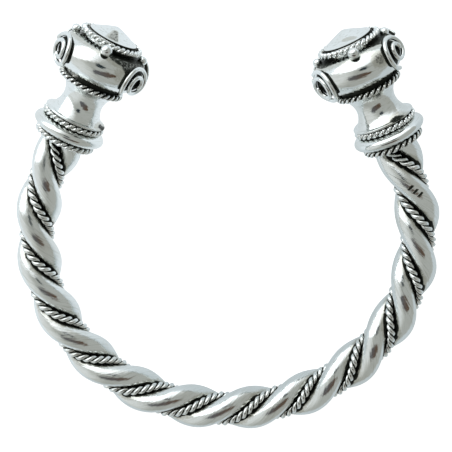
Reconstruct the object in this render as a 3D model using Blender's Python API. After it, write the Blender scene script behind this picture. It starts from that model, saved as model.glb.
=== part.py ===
"""Twisted silver torc bracelet, lying on its side as it rests.

Two thick wires are twisted about each other into an open oval hoop, with a thin
rope wire in each of the two grooves between them. Each end of the hoop meets the
flat base of a turned terminal: a round foot ring, a waisted neck and a ball head.
Rope rings, wire spirals, granules and a low cone are soldered on the terminals.
Lengths are in metres, and +Z is up.
"""

import math
from collections import namedtuple

import bmesh
import bpy
from mathutils import Matrix, Vector

MM = 0.001

# Gap left at every soldered joint, so that touching pieces stay separate solids
SOLDER_GAP = 0.05 * MM

# Oval that the middle of the hoop follows
OVAL_HALF_WIDTH = 34.77 * MM
OVAL_HALF_DEPTH = 34.01 * MM
TERMINAL_LEAN = math.radians(26.3)
STRAIGHT_END = 4.3 * MM

# Twisted wires of the hoop
WIRE_DIAMETER = 4.0 * MM
ROPE_WIRE_DIAMETER = 1.55 * MM
TWIST_PITCH = 21.9 * MM
TWIST_PHASE = math.radians(-33.3)
TWIST_DRIFT = math.radians(36.3)

# Rope rings round the terminals
ROPE_RING_DIAMETER = 1.15 * MM
LOWER_SEAT_RADIUS = 4.4 * MM
UPPER_SEAT_RADIUS = 4.55 * MM
NECK_SEAT_RADIUS = 4.87 * MM
RIM_SEAT_RADIUS = 4.6 * MM

# Foot and neck of a terminal
FOOT_RING_RADIUS = 6.55 * MM
FOOT_RING_WIDTH = 2.45 * MM
FLANGE_RADIUS = 5.6 * MM
FLANGE_THICKNESS = 0.45 * MM
NECK_FOOT_RADIUS = 4.9 * MM
NECK_WAIST_RADIUS = 3.65 * MM
NECK_LENGTH = 6.1 * MM

# Ball head of a terminal
HEAD_RADIUS = 8.1 * MM
HEAD_LENGTH = 5.8 * MM
LOWER_LIP_RADIUS = 6.3 * MM
UPPER_LIP_RADIUS = 6.3 * MM
LOWER_GROOVE_WIDTH = 0.85 * MM
UPPER_GROOVE_WIDTH = 0.65 * MM
GROOVE_TAPER = 0.35 * MM

# Cone on the end of the head
CONE_RADIUS = 4.45 * MM
CONE_EDGE = 0.2 * MM
CONE_SLOPE = math.radians(25)
CONE_TIP_RADIUS = 0.6 * MM
RIM_SINK = 0.12 * MM

# Granules on the upper lip, the one on top larger than the others
TOP_GRANULE_DIAMETER = 2.05 * MM
GRANULE_DIAMETER = 1.6 * MM
GRANULE_SINK = 0.475 * MM

# Wire spirals on the ball, all wound clockwise inwards as seen from outside
SPIRAL_WIRE_DIAMETER = 0.78 * MM
SPIRAL_END_REACH = 0.8 * MM
SPIRAL_OUTER_REACH = 2.98 * MM
SPIRAL_SLACK = 0.2 * MM
SPIRAL_BEND_RADIUS = 4.35 * MM

# Wound by hand, so each has its own degrees from the top of its head, degrees of its inner end
# clockwise from the rim, turns, height above the ball's widest line and reach of its eye
Coil = namedtuple("Coil", "from_top inner_end turns lift eye_reach")
SPIRALS = {
    "left": {
        "top_outer": Coil(61.3, 224, 1.82, -0.58 * MM, 1.61 * MM),
        "top_inner": Coil(-57.6, 138, 1.8, -0.26 * MM, 1.52 * MM),
        "under_outer": Coil(126, 60, 1.8, -0.3 * MM, 1.5 * MM),
        "under_inner": Coil(-124, 200, 1.85, -0.3 * MM, 1.6 * MM),
    },
    "right": {
        "top_outer": Coil(57, 95, 1.75, 0.3 * MM, 1.38 * MM),
        "top_inner": Coil(-62.1, 297, 1.94, -0.41 * MM, 1.83 * MM),
        "under_outer": Coil(125, 230, 1.8, -0.2 * MM, 1.5 * MM),
        "under_inner": Coil(-124, 20, 1.85, -0.3 * MM, 1.6 * MM),
    },
}

# Fineness of the faceted surfaces
SECTIONS_PER_TWIST = 12
WIRE_SIDES = 8
ROPE_WIRE_SIDES = 5
TURNED_SEGMENTS = 18
RING_SIDES = 5
SPIRAL_SECTIONS_PER_TURN = 8
SPIRAL_SIDES = 5
FOOT_RING_STEPS = 4
NECK_STEPS = 4
HEAD_STEPS = 5
CONE_STEPS = 3
SMOOTH_ANGLE = math.radians(50)

# Fineness of the sums
OVAL_STEPS = 1440
SLOPE_STEP = 0.02 * MM
SEAT_STEP = 0.005 * MM
LAG_STEPS = 100
TILT_HALVINGS = 50
STEEPEST_TILT = math.radians(20)
WELD_DISTANCE = 0.001 * MM

UP = Vector((0, 0, 1))
SIDES = {"left": -1, "right": 1}

# Colour and roughness of each finish
POLISHED = ((0.80, 0.80, 0.79), 0.12)
ROPED = ((0.66, 0.66, 0.65), 0.25)


def clear_scene():
    for old in list(bpy.data.objects):
        bpy.data.objects.remove(old, do_unlink=True)


def silver(name, colour, roughness):
    """A polished or darkened silver finish of its own for one piece."""
    material = bpy.data.materials.new(name)
    material.use_nodes = True
    shader = material.node_tree.nodes["Principled BSDF"]
    shader.inputs["Base Color"].default_value = (*colour, 1)
    shader.inputs["Roughness"].default_value = roughness
    shader.inputs["Metallic"].default_value = 1
    return material


def add_object(name, mesh_data, parent, finish):
    """Turns a bmesh into a smooth-shaded object under its parent."""
    bmesh.ops.recalc_face_normals(mesh_data, faces=mesh_data.faces)
    mesh = bpy.data.meshes.new(name)
    mesh_data.to_mesh(mesh)
    mesh_data.free()
    mesh.shade_smooth()
    mesh.set_sharp_from_angle(angle=SMOOTH_ANGLE)
    piece = bpy.data.objects.new(name, mesh)
    bpy.context.scene.collection.objects.link(piece)
    piece.parent = parent
    piece.data.materials.append(silver(name + "_silver", *finish))
    return piece


def add_empty(name, parent, matrix):
    holder = bpy.data.objects.new(name, None)
    bpy.context.scene.collection.objects.link(holder)
    holder.parent = parent
    holder.matrix_local = matrix
    return holder


def tube(rings):
    """A closed tube through rings of points, with a flat cap at each end."""
    mesh_data = bmesh.new()
    rows = [[mesh_data.verts.new(point) for point in ring] for ring in rings]
    count = len(rows[0])
    for row, following in zip(rows, rows[1:]):
        for i in range(count):
            j = (i + 1) % count
            mesh_data.faces.new((row[i], row[j], following[j], following[i]))
    mesh_data.faces.new(rows[0][::-1])
    mesh_data.faces.new(rows[-1])
    return mesh_data


def turned(profile, closed=False):
    """Spins a profile of (radius, height) points about the Z axis."""
    mesh_data = bmesh.new()
    verts = [mesh_data.verts.new((radius, 0, height)) for radius, height in profile]
    pairs = list(zip(verts, verts[1:]))
    if closed:
        pairs.append((verts[-1], verts[0]))
    edges = [mesh_data.edges.new(pair) for pair in pairs]
    bmesh.ops.spin(
        mesh_data,
        geom=verts + edges,
        axis=UP,
        cent=(0, 0, 0),
        steps=TURNED_SEGMENTS,
        angle=math.tau,
        use_merge=True,
    )
    bmesh.ops.remove_doubles(mesh_data, verts=mesh_data.verts, dist=WELD_DISTANCE)
    return mesh_data


def ring_of_points(centre, tangent, outward, radius, sides):
    """Points round a wire, with flat sides towards and away from outward."""
    across = tangent.cross(outward).normalized()
    outward = across.cross(tangent).normalized()
    points = []
    for i in range(sides):
        angle = math.tau * (i + 0.5) / sides
        points.append(centre + radius * (math.cos(angle) * outward + math.sin(angle) * across))
    return points


# Hoop


def oval_point(angle):
    """Point on the oval, at an angle from the middle of its back."""
    return Vector((OVAL_HALF_WIDTH * math.sin(angle), -OVAL_HALF_DEPTH * math.cos(angle), 0))


def oval_end_angle():
    """Angle at which the oval heads along a terminal's leaning axis."""
    rise = math.atan(OVAL_HALF_DEPTH / OVAL_HALF_WIDTH * math.tan(TERMINAL_LEAN))
    return math.pi / 2 + rise


def oval_lengths():
    """Angles along half of the oval, each with its distance from the back."""
    step = oval_end_angle() / OVAL_STEPS
    table = [(0.0, 0.0)]
    for i in range(OVAL_STEPS):
        stretch = (oval_point((i + 1) * step) - oval_point(i * step)).length
        table.append(((i + 1) * step, table[-1][1] + stretch))
    return table


OVAL_TABLE = oval_lengths()
HOOP_HALF_LENGTH = OVAL_TABLE[-1][1] + STRAIGHT_END


def oval_angle(distance):
    """Angle on the oval at a distance from the back, read from the table."""
    low, high = 0, OVAL_STEPS
    while high - low > 1:
        middle = (low + high) // 2
        if OVAL_TABLE[middle][1] <= distance:
            low = middle
        else:
            high = middle
    share = (distance - OVAL_TABLE[low][1]) / (OVAL_TABLE[high][1] - OVAL_TABLE[low][1])
    return OVAL_TABLE[low][0] + share * (OVAL_TABLE[high][0] - OVAL_TABLE[low][0])


def hoop_axis(distance):
    """Point, forward direction and inward direction of the hoop, from the middle of its back.

    A distance below zero is on the left half."""
    side = -1 if distance < 0 else 1
    along_oval = min(abs(distance), OVAL_TABLE[-1][1])
    angle = oval_angle(along_oval)
    forward = Vector(
        (OVAL_HALF_WIDTH * math.cos(angle), OVAL_HALF_DEPTH * math.sin(angle), 0)
    ).normalized()
    point = oval_point(angle) + forward * (abs(distance) - along_oval)
    point.x *= side
    forward.y *= side
    return point, forward, UP.cross(forward)


def twist_angle(distance):
    """Angle of the twist about the hoop's axis. It falls with distance: a left-handed twist."""
    share = distance / HOOP_HALF_LENGTH
    return TWIST_PHASE - math.tau * distance / TWIST_PITCH + TWIST_DRIFT * share**2


def strand_point(distance, radius, start):
    """Centre of a twisted strand, and the direction from the hoop's axis to it."""
    middle, _, inward = hoop_axis(distance)
    angle = start + twist_angle(distance)
    outward = math.cos(angle) * inward + math.sin(angle) * UP
    return middle + radius * outward, outward


def strand_rings(radius, start, thickness, sides):
    """Rings of points along a strand, with its ends cut square to the hoop's axis."""
    end = HOOP_HALF_LENGTH - SOLDER_GAP
    count = round(2 * end / TWIST_PITCH * SECTIONS_PER_TWIST)
    rings = []
    for i in range(count + 1):
        distance = -end + 2 * end * i / count
        centre, outward = strand_point(distance, radius, start)
        before, _ = strand_point(distance - SLOPE_STEP, radius, start)
        after, _ = strand_point(distance + SLOPE_STEP, radius, start)
        tangent = (after - before).normalized()
        ring = ring_of_points(centre, tangent, outward, thickness / 2, sides)
        if i in (0, count):
            middle, forward, _ = hoop_axis(distance)
            reach = tangent.dot(forward)
            ring = [point + tangent * ((middle - point).dot(forward) / reach) for point in ring]
        rings.append(ring)
    return rings


def groove_radius():
    """How far from the hoop's axis a rope wire sits when it clears both thick wires.

    The distance between the two spirals is least a little along the twist, and the
    twist is tighter on the inside of the bend."""
    wire_radius = WIRE_DIAMETER / 2 + SOLDER_GAP / 2
    needed = WIRE_DIAMETER / 2 + ROPE_WIRE_DIAMETER / 2 + SOLDER_GAP
    bend = min(OVAL_HALF_DEPTH, OVAL_HALF_WIDTH)
    seat = needed
    while True:
        advance = TWIST_PITCH / math.tau * (1 - seat / bend)
        lags = [-i / LAG_STEPS for i in range(LAG_STEPS + 1)]
        nearest = min(
            wire_radius**2
            + seat**2
            + 2 * wire_radius * seat * math.sin(lag)
            + (advance * lag) ** 2
            for lag in lags
        )
        if nearest < needed**2:
            return seat
        seat -= SEAT_STEP


def add_hoop(parent):
    wire_radius = WIRE_DIAMETER / 2 + SOLDER_GAP / 2
    rope_radius = groove_radius()
    hoop = []
    for letter, turn in (("a", 0), ("b", math.pi)):
        rope = strand_rings(rope_radius, turn, ROPE_WIRE_DIAMETER, ROPE_WIRE_SIDES)
        add_object("hoop_rope_" + letter, tube(rope), parent, ROPED)
        wire = strand_rings(wire_radius, turn + math.pi / 2, WIRE_DIAMETER, WIRE_SIDES)
        hoop.append(add_object("hoop_wire_" + letter, tube(wire), parent, POLISHED))
    return hoop


# Terminal, along its own axis from the base


ROPE_STEP = ROPE_RING_DIAMETER + SOLDER_GAP
LOWER_ROPE_HEIGHT = ROPE_RING_DIAMETER / 2
FOOT_RING_BOTTOM = ROPE_STEP
FOOT_RING_TOP = FOOT_RING_BOTTOM + FOOT_RING_WIDTH
UPPER_ROPE_HEIGHT = FOOT_RING_TOP + SOLDER_GAP + ROPE_RING_DIAMETER / 2
NECK_BOTTOM = UPPER_ROPE_HEIGHT + ROPE_RING_DIAMETER / 2 + SOLDER_GAP
NECK_TOP = NECK_BOTTOM + NECK_LENGTH
NECK_ROPE_HEIGHT = NECK_TOP + ROPE_RING_DIAMETER / 2
HEAD_BOTTOM = NECK_TOP + ROPE_STEP + LOWER_GROOVE_WIDTH
HEAD_TOP = HEAD_BOTTOM + HEAD_LENGTH
RIM_ROPE_HEIGHT = HEAD_TOP + UPPER_GROOVE_WIDTH + ROPE_RING_DIAMETER / 2
RIM_TOP = RIM_ROPE_HEIGHT + ROPE_RING_DIAMETER / 2 - RIM_SINK


def lip_share(lip_radius):
    """How far along the ball's half length a lip of this radius lies."""
    return math.sqrt(1 - (lip_radius / HEAD_RADIUS) ** 2)


BALL_HALF_LENGTH = HEAD_LENGTH / (lip_share(LOWER_LIP_RADIUS) + lip_share(UPPER_LIP_RADIUS))
EQUATOR_HEIGHT = HEAD_BOTTOM + BALL_HALF_LENGTH * lip_share(LOWER_LIP_RADIUS)


def foot_ring_profile():
    """Half-round outline of the polished ring between the two foot ropes."""
    points = []
    for i in range(FOOT_RING_STEPS + 1):
        angle = math.pi * i / FOOT_RING_STEPS
        seat = LOWER_SEAT_RADIUS if i <= FOOT_RING_STEPS / 2 else UPPER_SEAT_RADIUS
        radius = seat + (FOOT_RING_RADIUS - seat) * math.sin(angle)
        height = (FOOT_RING_BOTTOM + FOOT_RING_TOP) / 2 - FOOT_RING_WIDTH / 2 * math.cos(angle)
        points.append((radius, height))
    return points


def neck_profile():
    """Waisted neck, from the flange above the foot to the rope under the head."""
    start = NECK_BOTTOM + FLANGE_THICKNESS
    waist = (start + NECK_TOP) / 2
    half = (NECK_TOP - start) / 2
    points = []
    for i in range(NECK_STEPS + 1):
        height = start + (NECK_TOP - start) * i / NECK_STEPS
        end_radius = NECK_FOOT_RADIUS if height < waist else NECK_SEAT_RADIUS
        swell = ((height - waist) / half) ** 2
        points.append((NECK_WAIST_RADIUS + (end_radius - NECK_WAIST_RADIUS) * swell, height))
    return points


def head_profile():
    """Barrel of the ball, from its lower lip to its upper lip."""
    points = []
    for i in range(HEAD_STEPS + 1):
        height = HEAD_BOTTOM + HEAD_LENGTH * i / HEAD_STEPS
        offset = (height - EQUATOR_HEIGHT) / BALL_HALF_LENGTH
        points.append((HEAD_RADIUS * math.sqrt(1 - offset**2), height))
    return points


def terminal_profile():
    profile = [(0, 0), (LOWER_SEAT_RADIUS, 0)]
    profile += foot_ring_profile()
    profile += [
        (UPPER_SEAT_RADIUS, NECK_BOTTOM),
        (FLANGE_RADIUS, NECK_BOTTOM),
        (FLANGE_RADIUS, NECK_BOTTOM + FLANGE_THICKNESS),
    ]
    profile += neck_profile()
    profile.append((NECK_SEAT_RADIUS, HEAD_BOTTOM - GROOVE_TAPER))
    profile += head_profile()
    profile += [
        (RIM_SEAT_RADIUS, HEAD_TOP + GROOVE_TAPER),
        (RIM_SEAT_RADIUS, RIM_TOP),
        (0, RIM_TOP),
    ]
    return profile


def rope_ring_centre(seat_radius):
    return seat_radius + SOLDER_GAP + ROPE_RING_DIAMETER / 2


def rope_ring_profile(seat_radius, height):
    """Round outline of a rope ring that sits on the terminal."""
    centre = rope_ring_centre(seat_radius)
    points = []
    for i in range(RING_SIDES):
        angle = math.tau * i / RING_SIDES
        radius = centre - ROPE_RING_DIAMETER / 2 * math.cos(angle)
        points.append((radius, height - ROPE_RING_DIAMETER / 2 * math.sin(angle)))
    return points


def cone_profile():
    """Low cone with a softly rounded tip."""
    base = RIM_TOP + SOLDER_GAP
    slope = math.tan(CONE_SLOPE)
    edge_run = math.hypot(CONE_RADIUS, CONE_TIP_RADIUS)
    points = [(0, base), (CONE_RADIUS, base)]
    for i in range(CONE_STEPS + 1):
        radius = CONE_RADIUS * (1 - i / CONE_STEPS)
        rise = (edge_run - math.hypot(radius, CONE_TIP_RADIUS)) * slope
        points.append((radius, base + CONE_EDGE + rise))
    return points


def granule_centre(angle, radius):
    """A granule touches the rim rope and stands in its seat on the upper lip."""
    height = HEAD_TOP - GRANULE_SINK + radius
    reach = radius + ROPE_RING_DIAMETER / 2 + SOLDER_GAP
    drop = RIM_ROPE_HEIGHT - height
    place = rope_ring_centre(RIM_SEAT_RADIUS) + math.sqrt(reach**2 - drop**2)
    return Vector((place * math.cos(angle), place * math.sin(angle), height))


def balls(places):
    """One mesh of a ball at each centre, with its radius."""
    mesh_data = bmesh.new()
    for centre, radius in places:
        bmesh.ops.create_icosphere(
            mesh_data, subdivisions=2, radius=radius, matrix=Matrix.Translation(centre)
        )
    return mesh_data


def smoothstep(low, high, value):
    """Runs softly from 0 at low to 1 at high."""
    share = min(max((value - low) / (high - low), 0), 1)
    return share * share * (3 - 2 * share)


def coil_reach(turns, eye_reach):
    """A hooked inner end, a turn round the eye, and a step out to the last turn."""
    hook = (eye_reach - SPIRAL_END_REACH) * smoothstep(0, 0.4, turns)
    step = (SPIRAL_OUTER_REACH - eye_reach - SPIRAL_SLACK) * smoothstep(0.85, 1.45, turns)
    return SPIRAL_END_REACH + hook + step + SPIRAL_SLACK * turns / 2


def spiral_rings(coil, side):
    """Rings of points along a wire coil that lies near the ball's widest line."""
    angle = side * math.radians(coil.from_top)
    outward = Vector((math.cos(angle), math.sin(angle), 0))
    around = UP.cross(outward)
    wire_radius = SPIRAL_WIRE_DIAMETER / 2
    seat = HEAD_RADIUS + SOLDER_GAP + wire_radius
    count = round(coil.turns * SPIRAL_SECTIONS_PER_TURN)

    def place(step):
        turns = coil.turns * step / count
        turn = math.radians(coil.inner_end) - math.tau * turns
        reach = coil_reach(turns, coil.eye_reach)
        sideways, along = reach * math.sin(turn), coil.lift + reach * math.cos(turn)
        dome = seat - sideways**2 / (2 * seat) - along**2 / (2 * SPIRAL_BEND_RADIUS)
        return outward * dome + around * sideways + UP * (EQUATOR_HEIGHT + along)

    rings = []
    for i in range(count + 1):
        tangent = (place(i + 0.01) - place(i - 0.01)).normalized()
        rings.append(ring_of_points(place(i), tangent, outward, wire_radius, SPIRAL_SIDES))
    return rings


def cut_granule_seats(terminal, places, name, parent):
    """Round seats in the upper lip, one for each granule."""
    seats = [(centre, radius + SOLDER_GAP) for centre, radius in places]
    cutter = add_object(name, balls(seats), parent, POLISHED)
    cutter.hide_render = True
    cutter.display_type = "WIRE"
    cut = terminal.modifiers.new("granule_seats", "BOOLEAN")
    cut.operation = "DIFFERENCE"
    cut.solver = "EXACT"
    cut.object = cutter


def terminal_matrix(side):
    """Places a terminal's base on the hoop's end, with its local +X facing up."""
    point, forward, _ = hoop_axis(side * HOOP_HALF_LENGTH)
    axis = forward * side
    matrix = Matrix((UP, axis.cross(UP), axis)).transposed().to_4x4()
    matrix.translation = point
    return matrix


def add_terminal(name, side, parent):
    """Builds one terminal and its ornaments. Angles turn from the top towards the outside."""
    holder = add_empty(name + "_terminal_axis", parent, terminal_matrix(side))
    body = add_object(name + "_terminal", turned(terminal_profile()), holder, POLISHED)
    rings = {
        "_lower_foot_rope": (LOWER_SEAT_RADIUS, LOWER_ROPE_HEIGHT),
        "_upper_foot_rope": (UPPER_SEAT_RADIUS, UPPER_ROPE_HEIGHT),
        "_neck_rope": (NECK_SEAT_RADIUS, NECK_ROPE_HEIGHT),
        "_rim_rope": (RIM_SEAT_RADIUS, RIM_ROPE_HEIGHT),
    }
    for ending, (seat, height) in rings.items():
        ring = turned(rope_ring_profile(seat, height), closed=True)
        add_object(name + ending, ring, holder, ROPED)
    add_object(name + "_end_cone", turned(cone_profile()), holder, POLISHED)
    quarter_turns = {"top": 0, "outer": 1, "under": 2, "inner": 3}
    granules = []
    for place, quarters in quarter_turns.items():
        radius = (TOP_GRANULE_DIAMETER if place == "top" else GRANULE_DIAMETER) / 2
        granules.append((granule_centre(side * quarters * math.pi / 2, radius), radius))
        add_object(name + "_granule_" + place, balls(granules[-1:]), holder, POLISHED)
    cut_granule_seats(body, granules, name + "_granule_seats", holder)
    for place, coil in SPIRALS[name].items():
        add_object(name + "_spiral_" + place, tube(spiral_rings(coil, side)), holder, POLISHED)
    return holder


# Resting pose


def points_under(holder):
    """Points of every piece below an object, seen from that object's own parent."""
    points = []
    for piece in holder.children_recursive:
        if piece.type == "MESH" and not piece.hide_render:
            points += [piece.matrix_world @ vert.co for vert in piece.data.vertices]
    return points


def lowest(points, tilt):
    return min(point.y * math.sin(tilt) + point.z * math.cos(tilt) for point in points)


def resting_tilt(terminal_points, hoop_points):
    """Tilt at which the heads and the back of the hoop touch the table together."""
    low, high = 0.0, STEEPEST_TILT
    for _ in range(TILT_HALVINGS):
        tilt = (low + high) / 2
        if lowest(terminal_points, tilt) < lowest(hoop_points, tilt):
            low = tilt
        else:
            high = tilt
    return (low + high) / 2


def lay_down(frame, holders, hoop):
    """Tilts the bracelet to its rest and puts the origin below the middle of its box."""
    bpy.context.view_layer.update()
    heads = [point for holder in holders for point in points_under(holder)]
    wires = [piece.matrix_world @ vert.co for piece in hoop for vert in piece.data.vertices]
    turn = Matrix.Rotation(resting_tilt(heads, wires), 4, "X")
    points = [turn @ point for point in heads + wires]
    middle_x = (min(point.x for point in points) + max(point.x for point in points)) / 2
    middle_y = (min(point.y for point in points) + max(point.y for point in points)) / 2
    floor = min(point.z for point in points)
    frame.matrix_world = Matrix.Translation((-middle_x, -middle_y, -floor)) @ turn


def main():
    clear_scene()
    frame = add_empty("bracelet", None, Matrix.Identity(4))
    hoop = add_hoop(frame)
    holders = [add_terminal(name, side, frame) for name, side in SIDES.items()]
    lay_down(frame, holders, hoop)


main()
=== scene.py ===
"""Looks of the twisted silver torc bracelet: fine meshes, silver, patina and painted shade, studio and
camera.
"""

import math
from collections import namedtuple

import bpy
import numpy as np
from mathutils import Matrix, Vector
from mathutils.kdtree import KDTree


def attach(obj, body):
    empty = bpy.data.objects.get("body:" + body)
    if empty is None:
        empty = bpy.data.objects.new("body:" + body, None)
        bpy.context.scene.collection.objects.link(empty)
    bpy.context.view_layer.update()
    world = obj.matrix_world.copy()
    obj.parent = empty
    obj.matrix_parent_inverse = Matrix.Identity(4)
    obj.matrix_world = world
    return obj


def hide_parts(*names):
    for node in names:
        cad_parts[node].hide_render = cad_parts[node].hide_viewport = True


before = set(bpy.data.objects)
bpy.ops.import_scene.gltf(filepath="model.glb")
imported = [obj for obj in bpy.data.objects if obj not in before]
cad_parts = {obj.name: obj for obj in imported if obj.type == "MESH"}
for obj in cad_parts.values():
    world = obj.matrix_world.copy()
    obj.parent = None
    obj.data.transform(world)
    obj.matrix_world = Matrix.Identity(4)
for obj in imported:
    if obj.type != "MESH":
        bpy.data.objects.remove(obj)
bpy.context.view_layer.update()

# Lengths are in millimetres in the hoop's own plane, and the studio's are in metres of the frame

MM = 0.001
SOLDER_GAP = 0.05

# Resting pose of the bracelet's plane
REST_TILT = math.radians(3.5433)
REST_PLACE = (0.077, -0.829, 6.016)

# Oval that the middle of the hoop follows
OVAL_HALF_WIDTH = 34.77
OVAL_HALF_DEPTH = 34.01
TERMINAL_LEAN = math.radians(26.3)
STRAIGHT_END = 4.3

# Twisted wires of the hoop
WIRE_RADIUS = 2.0
ROPE_WIRE_RADIUS = 0.775
TWIST_PITCH = 21.9
TWIST_PHASE = math.radians(-33.3)
TWIST_DRIFT = math.radians(36.3)

# Rope rings round the terminals
ROPE_RING_RADIUS = 0.575
LOWER_SEAT_RADIUS = 4.4
UPPER_SEAT_RADIUS = 4.55
NECK_SEAT_RADIUS = 4.87
RIM_SEAT_RADIUS = 4.6

# Foot and neck of a terminal
FOOT_RING_RADIUS = 6.55
FOOT_RING_WIDTH = 2.45
FLANGE_RADIUS = 5.6
FLANGE_THICKNESS = 0.45
NECK_FOOT_RADIUS = 4.9
NECK_WAIST_RADIUS = 3.65
NECK_LENGTH = 6.1

# Ball head of a terminal
HEAD_RADIUS = 8.1
HEAD_LENGTH = 5.8
LOWER_LIP_RADIUS = 6.3
UPPER_LIP_RADIUS = 6.3
LOWER_GROOVE_WIDTH = 0.85
UPPER_GROOVE_WIDTH = 0.65
GROOVE_TAPER = 0.35

# Cone, granules and spirals
CONE_RADIUS = 4.45
CONE_EDGE = 0.2
CONE_SLOPE = math.radians(25)
CONE_TIP_RADIUS = 0.6
RIM_SINK = 0.12
GRANULE_RADII = {"top": 1.025, "outer": 0.8, "under": 0.8, "inner": 0.8}
GRANULE_LIFT = -0.475
SPIRAL_WIRE_RADIUS = 0.39
SPIRAL_END_REACH = 0.8
SPIRAL_OUTER_REACH = 2.98
SPIRAL_SLACK = 0.2
SPIRAL_BEND_RADIUS = 4.35

# Each spiral's degrees from the top of its head, degrees of its inner end clockwise from the rim,
# turns, height above the ball's widest line and reach of its eye
Coil = namedtuple("Coil", "from_top inner_end turns lift eye_reach")
SPIRALS = {
    "left": {
        "top_outer": Coil(61.3, 224, 1.82, -0.58, 1.61),
        "top_inner": Coil(-57.6, 138, 1.8, -0.26, 1.52),
        "under_outer": Coil(126, 60, 1.8, -0.3, 1.5),
        "under_inner": Coil(-124, 200, 1.85, -0.3, 1.6),
    },
    "right": {
        "top_outer": Coil(57, 95, 1.75, 0.3, 1.38),
        "top_inner": Coil(-62.1, 297, 1.94, -0.41, 1.83),
        "under_outer": Coil(125, 230, 1.8, -0.2, 1.5),
        "under_inner": Coil(-124, 20, 1.85, -0.3, 1.6),
    },
}

# Fine detail that the solids leave out: the plies of the ropes, and a wave in the thick wires
PLY_RADIUS = 0.415
PLY_OFFSET = 0.385
PLY_PITCH = 3.1
RING_PLY_RADIUS = 0.3
RING_PLY_OFFSET = 0.275
WIRE_WAVE = 0.006

# Patina, and the shade painted with it, is a brownish haze below this value and turns black above it
HAZE = 0.3

# How far the dark bands on the thick wires reach from a rope's middle, how much farther on the
# outside and the flanks, and the wave of their edge
BAND_REACH = 1.27
BAND_SPREAD = 0.25
BAND_WAVE = 0.07

# Places in a rope of the hoop where its patina ends and is full, measured from its middle
ROPE_CREVICE = (0.66, 0.44)

# How far patina reaches down from the upper lip, by degrees from the top towards the inside
POOL_DEPTHS = {
    "left": {
        -180: 0.25,
        -75: 0.2,
        -62: 0.16,
        -45: 0.06,
        -30: 0.02,
        0: 0.06,
        6: 0.3,
        12: 0.6,
        28: 0.9,
        36: 1.9,
        66: 2.1,
        80: 0.8,
        110: 0.3,
        180: 0.25,
    },
    "right": {
        -180: 0.25,
        -100: 0.35,
        -75: 0.8,
        -55: 0.7,
        -40: 0.3,
        -25: 0.1,
        -8: 0.06,
        0: 0.05,
        30: 0.06,
        45: 0.2,
        60: 0.4,
        80: 0.4,
        120: 0.25,
        180: 0.25,
    },
}

# Pools of patina at the foot of each neck, as degrees towards the inside and half width
NECK_POOLS = {"left": (80, 19), "right": (-25, 19)}
NECK_POOL_HEIGHT = 0.5

# How much lighter the dark band under each ball is toward its outer side, which faces the light: painted
# light
BAND_LIGHTENING = {"left": 0.52, "right": 0.0}

# Painted shade on the upper half of each ball, where its reflected highlight ends, placed in the same
# way, with how dark it is, how far its middle is above the ball's widest line, and half its height
FACE_SHADE_PATCHES = {"left": (27, 10, 0.26), "right": (-27, 13, 0.47)}
SHADE_PATCH_RISE = 0.8
SHADE_PATCH_HALF_HEIGHT = 1.5

# How dark patina is where it is thin, how dark the painted reflection on the left cone is, and how much
# lighter the hoop's patina is on its left part, painted light where the light falls
UPPER_SEAT_PATINA = 0.62
SHOULDER_PATINA = 0.56
NECK_PATINA = 0.6
WEDGE_REFLECTION_DEPTH = 0.47
LEFT_LIGHTENING = 0.36

# Painted reflection on the left cone, a dull wedge, as degrees and reaches between which its edges fade
WEDGE_SIDES = ((-24, -8), (19, 16))
WEDGE_ENDS = ((1.1, 1.8), (4.4, 3.9))

# Painted reflection on the right cone, a dull oval, as its place and half size upwards and sideways, and
# its slant
OVAL_REFLECTION_PLACE = (3.2, -0.4)
OVAL_REFLECTION_HALF_SIZE = (0.55, 1.35)
OVAL_REFLECTION_SLANT = 0.2

# Shallow worn strokes on one thick wire, as places along the hoop and degrees round the wire
STROKES = ((66.0, 8), (65.22, 1), (64.46, -3))
STROKE_DEPTH = 0.06

# Half widths, and half lengths in degrees, between which a stroke fades
STROKE_HALF_WIDTHS = (0.21, 0.09)
STROKE_HALF_LENGTHS = (19, 13)

# Fineness of the meshes
WIRE_STEP = 0.45
WIRE_SIDES = 40
STROKE_STEP = 0.07
STROKE_ANGLES = np.radians(np.arange(-28, 32, 2.2))
LINE_STEP = 0.3
PLY_STEP = 0.2
PLY_SIDES = 10
RING_STEPS_PER_TURN = 14
RING_SIDES = 8
TURNED_SIDES = 288
TURNED_STEP = 0.15
CONE_SIDES = 96
CONE_STEP = 0.4
SPIRAL_STEPS_PER_TURN = 60
SPIRAL_SIDES = 14
ROUND_STEPS = 24
SHARP_ANGLE = math.radians(42)

UP = np.array((0.0, 0.0, 1.0))
SIDES = {"left": -1, "right": 1}
POLISHED_SLOT = "polished_silver"
ROPED_SLOT = "darkened_rope_silver"

REST = Matrix.Translation(Vector(REST_PLACE) * MM) @ Matrix.Rotation(REST_TILT, 4, "X")


# Small tools


def unit(vectors):
    return vectors / np.linalg.norm(vectors, axis=-1, keepdims=True)


def smoothstep(low, high, values):
    """Runs from 0 at low to 1 at high. low may be the larger of the two."""
    share = np.clip((values - low) / (high - low), 0, 1)
    return share * share * (3 - 2 * share)


def circle(count):
    return np.linspace(0, math.tau, count, endpoint=False)


def directions(angles):
    return np.stack([np.cos(angles), np.sin(angles)], -1)


def level(angles):
    """Directions square to the third axis, at these angles from the first."""
    return np.stack([np.cos(angles), np.sin(angles), 0 * angles], -1)


def lengths_along(points):
    """How far each point of a line is from its first point, along the line."""
    return np.concatenate([[0], np.cumsum(np.linalg.norm(np.diff(points, axis=0), axis=1))])


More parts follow.
